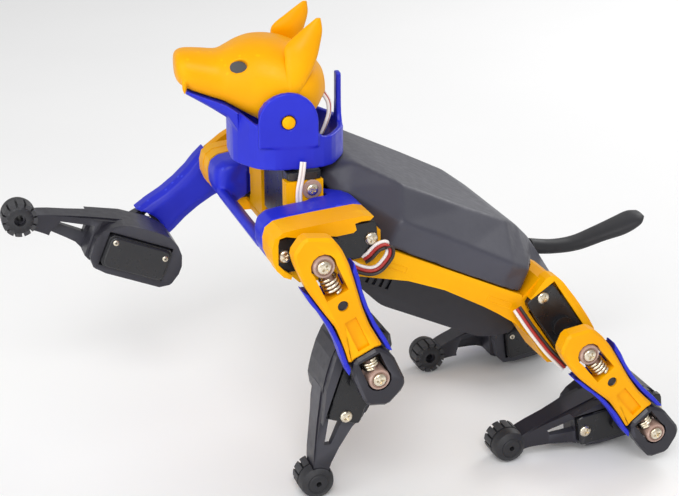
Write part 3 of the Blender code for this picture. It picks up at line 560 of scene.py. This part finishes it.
SPRING_RADIUS = 2.5
SPRING_WIRE_RADIUS = 0.42
LONG_ARM = 9
ARM_START = 2.5
ARM_RADIUS = 1.45
ARM_TIP_RADIUS = 1.2
SHAFT_BORE = 2.6
PEG_RIM_OUTER = 1.75
PEG_RIM_INNER = 1.2


def crisp(mesh, angle=40):
    """Shades a mesh smooth between its sharp edges."""
    mesh.shade_smooth()
    mesh.set_sharp_from_angle(angle=math.radians(angle))
    return mesh


def screw_head(radius):
    """A domed Phillips head that stands on the plane Y = 0."""
    rise = radius * HEAD_RISE
    profile = [(-0.5, radius * 0.8), (0, radius)]
    profile += [(rise * up, radius * out) for up, out in HEAD_DOME]
    head = turned(profile, steps=28)
    long, wide, deep = radius * CROSS_REACH, radius * CROSS_HALF_WIDTH, rise * CROSS_FLOOR
    along_x = block((-long, deep, -wide), (long, rise + 1, wide))
    along_z = block((-wide, deep, -long), (wide, rise + 1, long))
    return crisp(carved(head, along_x, along_z))


def coil(start, end, radius, wire, turns, steps=26, sides=10):
    """A coil spring along X at the height of the horns' arms."""
    rings = []
    count = int(turns * steps)
    for step in range(count + 1):
        angle = 2 * math.pi * step / steps
        along = start + (end - start) * step / count
        ring = []
        for side in range(sides):
            around = 2 * math.pi * side / sides
            out = radius + wire * math.cos(around)
            x = along + wire * math.sin(around)
            ring.append((x, SPRING_Y + out * math.cos(angle), out * math.sin(angle)))
        rings.append(ring)
    mesh = loft(rings)
    mesh.shade_smooth()
    return mesh


def horn(reach):
    """A horn with a round collar, a recess for its screw and the arm that carries the spring."""
    top = HORN_TOP_Y
    profile = [
        (HORN_LOW_Y, HUB_RADIUS), (top - 0.5, HUB_RADIUS), (top - 0.15, HUB_RADIUS - 0.15),
        (top, HUB_RADIUS - 0.5), (top, HUB_RADIUS - 0.7), (top - 0.35, HUB_RADIUS - 0.8),
    ]
    hub = turned(profile, steps=40)
    side = math.copysign(1, reach)
    start, end = sorted((side * ARM_START, reach - side * END_ROOM))
    arm = turned([(start, ARM_RADIUS), (end - 0.3, ARM_RADIUS), (end, ARM_TIP_RADIUS)], (SPRING_Y, 0), "X", 20)
    bore = turned([(HORN_LOW_Y - 1, SHAFT_BORE), (SHAFT_END_Y + 0.4, SHAFT_BORE)], steps=24)
    return crisp(carved(fused(hub, arm), bore))


def spring(reach):
    """The spring threaded on a horn's arm."""
    side = math.copysign(1, reach)
    start = side * SPRING_START
    end = reach - side * (END_ROOM - 0.5)
    turns = 4 if abs(reach) > LONG_ARM else 3
    return coil(start, end, SPRING_RADIUS, SPRING_WIRE_RADIUS, turns)


def build_leg_hardware(leg):
    """Horns, springs and their screws at one leg's two joints, and the rim of the peg in its plate."""
    place = hip_frame(leg)
    body = body_of(leg + "_thigh_plate")
    for joint, reach, along, angle in (("hip", HIP_SLOT, 0, 25), ("knee", KNEE_SLOT, THIGH, 70)):
        name = f"{leg}_{joint}"
        there = place @ shift(along, 0, 0)
        piece(name + "_horn_fine", horn(reach), "horn_plastic", body, there, [name + "_horn"])
        piece(name + "_spring_fine", spring(reach), "spring_steel", body, there, [name + "_spring"])
        screw = there @ shift(0, HORN_TOP_Y - 0.3, 0) @ turn_y(angle)
        piece(name + "_screw", screw_head(HORN_SCREW_RADIUS), "screw_steel", body, screw)
    base = PLATE_TOP_Y - 0.9
    rim = turned([(base, PEG_RIM_OUTER), (PLATE_TOP_Y - 0.55, 1.5), (base, PEG_RIM_INNER)], steps=24)
    piece(f"{leg}_peg_rim", crisp(rim), "charcoal_plastic", body, place @ shift(PEG_X, 0, 0))


def turn_y(angle):
    """A turn about Y, in degrees."""
    return Matrix.Rotation(math.radians(angle), 4, "Y")


SEAM_HEIGHTS = (4.2, 14.6)
SEAM_RISE = 0.3
SEAM_PROUD = 0.1
SEAM_SUNK = 1
SEAM_CORNER = 1.1
WIRE_RADIUS = 0.52
WIRE_PITCH = 1.0
# The x and z of the screws in a servo's base
CASE_SCREWS = ((14.0, 3.4), (-3.6, 2.6))
CASE_SCREW_SINK = 0.2
BASE_RISE = 0.8
BASE_INSET = 0.2
BASE_CORNER = 2.6
BASE_SUNK = 1.5
BASE_EDGE = 0.75


def case_outline(inset):
    """A leg servo's case in XZ round its shaft, drawn in by an inset."""
    half = SERVO_HALF_WIDTH - inset
    return rectangle(inset - SERVO_NEAR_END, SERVO_FAR_END - inset, -half, half)


def servo_seams():
    """A leg servo's case seams, drawn round the shaft's axis."""
    outer = case_outline(-SEAM_PROUD)
    inner = case_outline(SEAM_SUNK)
    seams = []
    for height in SEAM_HEIGHTS:
        low, high = SERVO_LOW_Y + height, SERVO_LOW_Y + height + SEAM_RISE
        seams.append(carved(prism(rounded(outer, SEAM_CORNER), low, high), prism(inner, low - 1, high + 1)))
    return fused(*seams)


def servo_base():
    """The rounded end of a leg servo's case."""
    outline = rounded(case_outline(BASE_INSET), BASE_CORNER)
    return prism(outline, SERVO_LOW_Y - BASE_RISE, SERVO_LOW_Y + BASE_SUNK)


def build_servo(name, place, body):
    """A leg servo's seams and base, the screws in the base and those in its ears."""
    piece(name + "_seams", servo_seams(), "servo_plastic", body, place)
    piece(name + "_base", servo_base(), "servo_plastic", body, place, edge=BASE_EDGE)
    for index, (x, z) in enumerate(CASE_SCREWS):
        seat = shift(x, SERVO_LOW_Y - BASE_RISE + CASE_SCREW_SINK, z)
        low = place @ seat @ Matrix.Rotation(math.pi, 4, "X")
        piece(f"{name}_case_screw_{index}", screw_head(CASE_SCREW_RADIUS), "screw_steel", body, low)
    for index, x in enumerate(SERVO_HOLES):
        high = place @ shift(x, EAR_TOP_Y, 0) @ turn_y(30 + 25 * index)
        piece(f"{name}_ear_screw_{index}", screw_head(EAR_SCREW_RADIUS), "screw_steel", body, high)


def build_servos():
    for leg in LEGS:
        build_servo(leg + "_hip_servo", servo_frame(leg), body_of(leg + "_hip_servo"))
        build_servo(leg + "_knee_servo", knee_frame(leg), body_of(leg + "_knee_servo"))


def tube(path, radius, offset, across, sides=10):
    """A wire beside a path, set off from it along the across direction."""
    rings = []
    for step, point in enumerate(path):
        ahead = (path[min(step + 1, len(path) - 1)] - path[max(step - 1, 0)]).normalized()
        flat = (across - ahead * ahead.dot(across)).normalized()
        up = ahead.cross(flat)
        middle = point + flat * offset
        rings.append([middle + flat * a + up * b for a, b in arc((0, 0), radius, 0, 360, sides)[:-1]])
    mesh = loft(rings)
    mesh.shade_smooth()
    return mesh


def ribbon(name, route, body, place, colours, across, bends_to=None):
    """A flat lead of parallel wires along a route, which rides on a body, or is left fixed in place where it
    runs between two bodies.
    """
    path = through(route)
    for index, colour in enumerate(colours):
        offset = (index - (len(colours) - 1) / 2) * WIRE_PITCH
        mesh = tube(path, WIRE_RADIUS, offset, Vector(across))
        mesh.materials.append(FINISH[colour])
        made = bpy.data.objects.new(f"{name}_{index}", mesh)
        bpy.context.scene.collection.objects.link(made)
        made.matrix_world = place
        if bends_to:
            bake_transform(made)
        else:
            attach(made, body)


# ---------------------------------------------------------------- feet

TREADS = 12
TREAD_SPAN = 23
TREAD_TOP_RADIUS = 5.7
TREAD_ROOT_RADIUS = 4.4
HUB_ROOM_RADIUS = 3.4
HUB_BORE_RADIUS = 1.9
CAP_HOLE_RADIUS = 0.9
# The shank's arm inside the foot: its outline in XZ, and how far it reaches in Y
ARM_ROOM = [(30, 5.2), (37, 4.3), (41, 2.8), (SHANK, 2.8), (SHANK, -2.8), (30, -3.2)]
ARM_ROOM_LOW_Y = 31.1
ARM_ROOM_HIGH_Y = 38.9


def tread(middle, low):
    """One tread block of a foot, centred on an angle."""
    start, end = middle - TREAD_SPAN / 2, middle + TREAD_SPAN / 2
    outline = arc((SHANK, 0), TREAD_TOP_RADIUS, start, end, 4)
    outline += arc((SHANK, 0), TREAD_ROOT_RADIUS, end, start, 2)
    return prism(outline, low + 0.5, FOOT_Y + 0.2)


def foot():
    """A rubber foot: a ring of tread blocks on its inner half and a smooth cap on its outer half."""
    low, high = FOOT_Y - FOOT_HALF_WIDTH, FOOT_Y + FOOT_HALF_WIDTH
    profile = [
        (low, 3.6), (low + 0.3, 4.2), (low + 0.9, 4.7), (FOOT_Y + 0.4, 4.9), (FOOT_Y + 0.8, 5.6),
        (high - 2.6, 5.6), (high - 1.2, 5.2), (high - 0.4, 4.1), (high - 0.1, 3.6), (high - 0.3, 3.2),
        (high, 2.7), (high, 1.9),
    ]
    drum = turned(profile, (SHANK, 0), steps=48)
    blocks = [tread(360 * (index + 0.5) / TREADS, low) for index in range(TREADS)]
    cutters = [
        turned([(32.3, HUB_ROOM_RADIUS), (37.7, HUB_ROOM_RADIUS)], (SHANK, 0)),
        prism(ARM_ROOM, ARM_ROOM_LOW_Y, ARM_ROOM_HIGH_Y),
        turned([(low - 2, HUB_BORE_RADIUS), (33.5, HUB_BORE_RADIUS)], (SHANK, 0)),
        turned([(36, CAP_HOLE_RADIUS), (high + 2, CAP_HOLE_RADIUS)], (SHANK, 0), steps=16),
    ]
    return crisp(carved(fused(drum, *blocks), *cutters), 30)


def build_feet():
    for leg in LEGS:
        node = leg + "_foot"
        piece(node + "_treads", foot(), "black_rubber", body_of(node), knee_frame(leg), [node])


# ---------------------------------------------------------------- head

HEAD_STATIONS = [
    # x, top z, bottom z, half-width
    (33.4, 69.6, 64.0, 4.2), (32.6, 71.0, 62.0, 6.2), (30.4, 71.7, 60.0, 7.8), (26.0, 71.5, 57.4, 8.7),
    (20.6, 71.0, 55.0, 9.9), (17.4, 72.2, 53.4, 11.6), (14.0, 73.8, 51.6, 13.4), (9.5, 74.9, 49.2, 15.4),
    (4.0, 74.7, 47.0, 16.8), (-1.0, 73.4, 46.4, 17.3), (-5.0, 71.2, 48.0, 16.6), (-8.6, 68.2, 51.0, 13.8),
    (-11.4, 64.6, 55.0, 8.6),
]
EAR_LEVELS = [
    # z, front x, back x, inner y, outer y
    (61.0, 1.6, -2.6, 15.6, 17.6), (66.0, 1.8, -5.6, 14.0, 17.4), (70.5, 1.8, -7.8, 12.4, 16.6),
    (74.4, 1.4, -9.0, 11.2, 15.6), (78.4, -3.2, -9.8, 11.4, 13.8), (82.0, -8.0, -9.4, 11.7, 12.5),
]
HEAD_WALL = 2.5
# Power of the cosine across the head: 1 gives an ellipse, and less is squarer
HEAD_SQUARENESS = 0.8
HOLLOW_SHIFT = (-0.2, 0, -0.4)
HOLLOW_LENGTH = 0.955
LIP_LINE = [
    (40, 40), (40, 62.6), (32.8, 61.6), (28.6, 60.0), (22.8, 58.1), (19.2, 57.0), (15.6, 54.9), (9.8, 51.6),
    (5.4, 49.4), (-1.2, 49.4), (-6.4, 52.4), (-9.6, 57.0), (-14, 61.5), (-14, 40),
]
EYE = (15.0, 10.9, 68.3)
EYE_RISE = 33
# Depth of the near-black floor in each eye pit, which is painted shade
EYE_SHADE_DEPTH = -0.9
# Rings of a tooth from its point up: z, radius
TOOTH_RINGS = ((59.3, 0.15), (60.6, 0.7), (63.5, 0.9))
TOOTH_X = 31
TOOTH_Y = 6.9
PIN_PROFILE = [
    # y, radius
    (13.2, 3.6), (17.9, 3.6), (17.9, PIN_RADIUS), (20.2, PIN_RADIUS), (20.4, PIN_RADIUS - 0.25),
]


def head_form(wall, steps):
    """The head's rounded form, smaller all round by the wall."""
    rings = []
    for x, top, bottom, half in through(HEAD_STATIONS, 5):
        high = (top - bottom) / 2 - wall
        wide = half - wall
        ring = []
        for angle in angles(steps):
            across = math.copysign(abs(math.cos(angle)) ** HEAD_SQUARENESS, math.cos(angle)) * wide
            ring.append((x, across, (top + bottom) / 2 + high * math.sin(angle)))
        rings.append(ring)
    return loft(rings)


def ear(side):
    """A leaf-shaped ear, pointed at its front and back edges and full between them."""
    rings = []
    for z, front, back, inner, outer in through(EAR_LEVELS, 6):
        long, thick = (front - back) / 2, (outer - inner) / 2
        ring = []
        for x, y in arc((0, 0), 1, 0, 360, 32)[:-1]:
            across = (inner + outer) / 2 + thick * y * abs(y) ** 0.3
            ring.append(((front + back) / 2 + long * x, side * across, z))
        rings.append(ring)
    return loft(rings)


def eye_place(side):
    """Where an eye sits, with Y straight out of the cheek."""
    turn = Matrix.Rotation(math.radians(EYE_RISE), 4, "X")
    return Matrix.Diagonal((1, side, 1, 1)) @ shift(*EYE) @ turn


def eye_pit(side):
    """An oval pit sunk at a right angle to the cheek."""
    rings = []
    for depth in (-1.6, 4):
        rings.append([(2.5 * math.cos(angle), depth, 1.95 * math.sin(angle)) for angle in angles(28)])
    return moved(loft(rings), eye_place(side))


def painted_eye_shade(side):
    """A near-black floor in an eye pit: painted shade, standing in for the shadow inside the pit."""
    rings = []
    for depth in (-1.9, EYE_SHADE_DEPTH):
        rings.append([(2.6 * x, depth, 2.05 * z) for x, z in arc((0, 0), 1, 0, 360, 28)[:-1]])
    return moved(loft(rings), eye_place(side))


def tooth(side):
    """A small pointed tooth at the corner of the muzzle."""
    rings = []
    for z, radius in TOOTH_RINGS:
        ring = []
        for angle in angles(12):
            ring.append((TOOTH_X + radius * math.cos(angle), side * TOOTH_Y + radius * math.sin(angle), z))
        rings.append(ring)
    return loft(rings)


def build_head():
    """The head shell with its eye pits, ears and teeth, and the pins that it tips on."""
    smaller = shift(*HOLLOW_SHIFT) @ Matrix.Diagonal((HOLLOW_LENGTH, 1, 1, 1))
    hollow = moved(head_form(HEAD_WALL, 32), smaller)
    shell = carved(head_form(0, 64), hollow, prism(LIP_LINE, -30, 30))
    shell = carved(fused(shell, tooth(1), tooth(-1)), eye_pit(1), eye_pit(-1))
    body = body_of("head_shell")
    piece("head_soft", softened(shell, 0.36, 8), "yellow_plastic", body, NECK, ["head_shell"])
    for side in (1, -1):
        # Near-black floors in the eye pits: painted shade
        piece(f"eye_{side + 1}", crisp(painted_eye_shade(side)), "servo_plastic", body, NECK)
        piece(f"ear_{side + 1}", crisp(ear(side), 60), "yellow_plastic", body, NECK)
        pin = turned(PIN_PROFILE, (PIN_X, PIN_Z), steps=36)
        pin = moved(pin, Matrix.Diagonal((1, side, 1, 1)))
        piece(f"head_pin_{side + 1}", crisp(pin), "yellow_plastic", body, NECK)


# ---------------------------------------------------------------- tail

TAIL_LINE = [
    # x, z, half-height, half-width
    (-46.5, 15.8, 2.6, 3.2), (-55, 18.4, 2.4, 3.4), (-63, 22.4, 2.4, 3.9), (-70.5, 28.6, 2.5, 4.6),
    (-76.3, 33.5, 2.8, 5.4), (-80.2, 37.8, 2.2, 5.3), (-82.0, 40.1, 1.0, 3.0),
]


def tail():
    """The tail: a smooth paddle that curves up behind the body and broadens towards its end."""
    line = through(TAIL_LINE, 8)
    rings = []
    for index, (x, z, high, wide) in enumerate(line):
        before = line[max(index - 1, 0)]
        after = line[min(index + 1, len(line) - 1)]
        ahead = Vector((after[0] - before[0], after[1] - before[1])).normalized()
        ring = []
        for across, up in arc((0, 0), 1, 0, 360, 28)[:-1]:
            ring.append((x - ahead.y * up * high, across * wide, z + ahead.x * up * high))
        rings.append(ring)
    return crisp(loft(rings), 60)


def build_tail():
    piece("tail_fine", tail(), "black_rubber", body_of("tail"), BODY, ["tail"])


# ---------------------------------------------------------------- leads

# Routes, as x, y, z in the frame of the body or of the neck
SHOULDER_ROUTE = [
    (35.0, 42.6, 0.1), (33.9, 43.4, 0.1), (31.5, 44.3, 0.1), (28.9, 45.0, 0.7), (27.0, 45.3, 2.2),
    (26.0, 45.4, 4.6), (25.5, 45.3, 7.4), (26.4, 45.0, 9.3), (27.9, 44.6, 9.6), (29.3, 44.1, 8.2),
    (30.0, 43.6, 6.2), (30.4, 43.3, 4.5), (31.0, 42.4, 2.8),
]
HAUNCH_ROUTE = [
    (-25.2, 42.0, 3.5), (-27.2, 43.2, 2.1), (-31.4, 43.9, -0.5), (-36.9, 44.1, -3.5), (-42.1, 44.1, -6.1),
    (-47.3, 44.0, -8.1), (-50.3, 43.9, -9.3),
]
NECK_ROUTE = [
    (-10.2, 8.2, 45.2), (-11.6, 8.1, 48.4), (-12.7, 7.9, 52.2), (-12.4, 7.6, 55.6), (-10.4, 7.0, 58.6),
]
POST_ROUTE = [
    (52.6, 21.6, 20.2), (51.9, 22.2, 17.6), (51.2, 22.6, 14.6), (50.6, 22.8, 12.0), (49.0, 22.6, 8.6),
    (46.6, 22.0, 5.6),
]


def build_leads():
    """The leads of the left hip servos, as far as they show."""
    colours = ("wire_white", "wire_red", "wire_black")
    torso = body_of("body_frame")
    ribbon("shoulder_lead", SHOULDER_ROUTE, torso, BODY, colours, across=(-0.8, 0.48, -0.34))
    ribbon("haunch_lead", HAUNCH_ROUTE, torso, BODY, colours, across=(-0.47, 0.02, 0.88))


def build_cables_of_head():
    """The lead from the neck up into the head, and the pale one beside the neck servo."""
    colours = ("wire_white", "wire_red", "wire_white")
    ribbon("neck_cable", NECK_ROUTE, body_of("jaw_and_neck"), NECK, colours,
           across=(0.5, 1, 0), bends_to=body_of("head_shell"))
    colours = ("wire_white", "wire_white")
    ribbon("post_cable", POST_ROUTE, body_of("body_frame"), BODY, colours, across=(1, 0, 0))


# ---------------------------------------------------------------- frame details

CLIP_SPANS = ((15.0, 21.4), (-24.4, -15.2))
CLIP_LINE = 0.35
CLIP_OUTER_Z = (2.1, 4.1)
CLIP_INNER_Z = (2.45, 3.75)
CLIP_SUNK = 0.5
CLIP_PROUD = 0.12
CLIP_EDGE = 0.08
POST_X = 46.3
POST_Z = 13.3
POST_SCREW_Y = 21.8
WASHER_PROFILE = [(21.1, 3.0), (21.7, 3.0), (21.9, 2.7)]


def rail_clips():
    """Shallow clip outlines, a long and a short one on each rail."""
    marks = []
    for low, high in CLIP_SPANS:
        outer = rectangle(low, high, *CLIP_OUTER_Z)
        inner = rectangle(low + CLIP_LINE, high - CLIP_LINE, *CLIP_INNER_Z)
        for side in (1, -1):
            bottom, top = sorted((side * (RAIL_TOP_Y - CLIP_SUNK), side * (RAIL_TOP_Y + CLIP_PROUD)))
            marks.append(carved(prism(rounded(outer, 0.4), bottom, top), prism(inner, -50, 50)))
    return marks


def build_frame_details():
    """The rails' clip outlines, and the washer and screw on the post beside the neck servo."""
    torso = body_of("body_frame")
    for index, mark in enumerate(rail_clips()):
        piece(f"rail_clip_{index}", mark, "yellow_plastic", torso, BODY, edge=CLIP_EDGE)
    washer = turned(WASHER_PROFILE, (POST_X, POST_Z), steps=36)
    piece("post_washer", crisp(washer), "horn_plastic", torso, BODY)
    seat = BODY @ shift(POST_X, POST_SCREW_Y, POST_Z)
    piece("post_screw", screw_head(POST_SCREW_RADIUS), "screw_steel", torso, seat)


# ---------------------------------------------------------------- stage

# The stage is in metres and watts
LIGHTS = [
    # name, place, size, power
    ("key", (0.25, 0.75, 0.75), 0.5, 5),
    ("fill", (0.75, 0.35, 0.35), 0.6, 2.2),
    ("rim", (-0.7, -0.5, 0.6), 0.5, 2.8),
]
LIGHT_AIM = (0, 0, 0.06)
WORLD_STRENGTH = 0.56
FLOOR_SIZE = 6
FLOOR_DROP = 0.0002
FLOOR_PALE = (0.97, 0.97, 0.97)
FLOOR_DULL = (0.95, 0.95, 0.95)
FLOOR_ROUGHNESS = 0.8


def area_light(name, place, size, power):
    """A round soft light aimed at the robot."""
    light = bpy.data.lights.new(name, "AREA")
    light.shape = "DISK"
    light.size = size
    light.energy = power
    made = bpy.data.objects.new(name, light)
    bpy.context.scene.collection.objects.link(made)
    made.location = place
    made.rotation_euler = (Vector(LIGHT_AIM) - Vector(place)).to_track_quat("-Z", "Y").to_euler()


def build_floor():
    made, tree, shader = new_material("floor_paint")
    cloud = spread(tree, noise(tree, 6), 0.3, 0.7, 0.0, 1.0)
    tree.links.new(mixed(tree, cloud, FLOOR_PALE, FLOOR_DULL), shader.inputs["Base Color"])
    shader.inputs["Roughness"].default_value = FLOOR_ROUGHNESS
    bpy.ops.mesh.primitive_plane_add(size=FLOOR_SIZE, location=(0, 0, -FLOOR_DROP))
    floor = bpy.context.object
    floor.name = "floor"
    floor.data.materials.append(made)


def build_camera():
    camera = bpy.data.cameras.new("camera")
    camera.lens = CAMERA_LENS
    camera.sensor_width = 36
    camera.clip_start = 0.01
    camera.clip_end = 20
    item = bpy.data.objects.new("camera", camera)
    bpy.context.scene.collection.objects.link(item)
    level = math.cos(CAMERA_RISE)
    towards = Vector((math.sin(CAMERA_TURN) * level, math.cos(CAMERA_TURN) * level, math.sin(CAMERA_RISE)))
    item.location = ORIGIN + (Vector(CAMERA_TARGET) + towards * CAMERA_DISTANCE) * MM
    item.rotation_euler = (-towards).to_track_quat("-Z", "Y").to_euler()
    bpy.context.scene.camera = item


def build_stage():
    """A pale floor, soft light and the camera."""
    build_floor()
    world = bpy.data.worlds.new("studio")
    bpy.context.scene.world = world
    world.use_nodes = True
    background = world.node_tree.nodes["Background"]
    background.inputs["Color"].default_value = (1, 1, 1, 1)
    background.inputs["Strength"].default_value = WORLD_STRENGTH
    for light in LIGHTS:
        area_light(*light)
    build_camera()
    bpy.context.scene.view_settings.view_transform = "Standard"


# ---------------------------------------------------------------- assembly

def main():
    build_stage()
    dress_packed_nodes()
    build_soft_nodes()
    for leg in LEGS:
        build_leg_hardware(leg)
    build_servos()
    build_feet()
    build_head()
    build_tail()
    build_leads()
    build_cables_of_head()
    build_frame_details()


main()
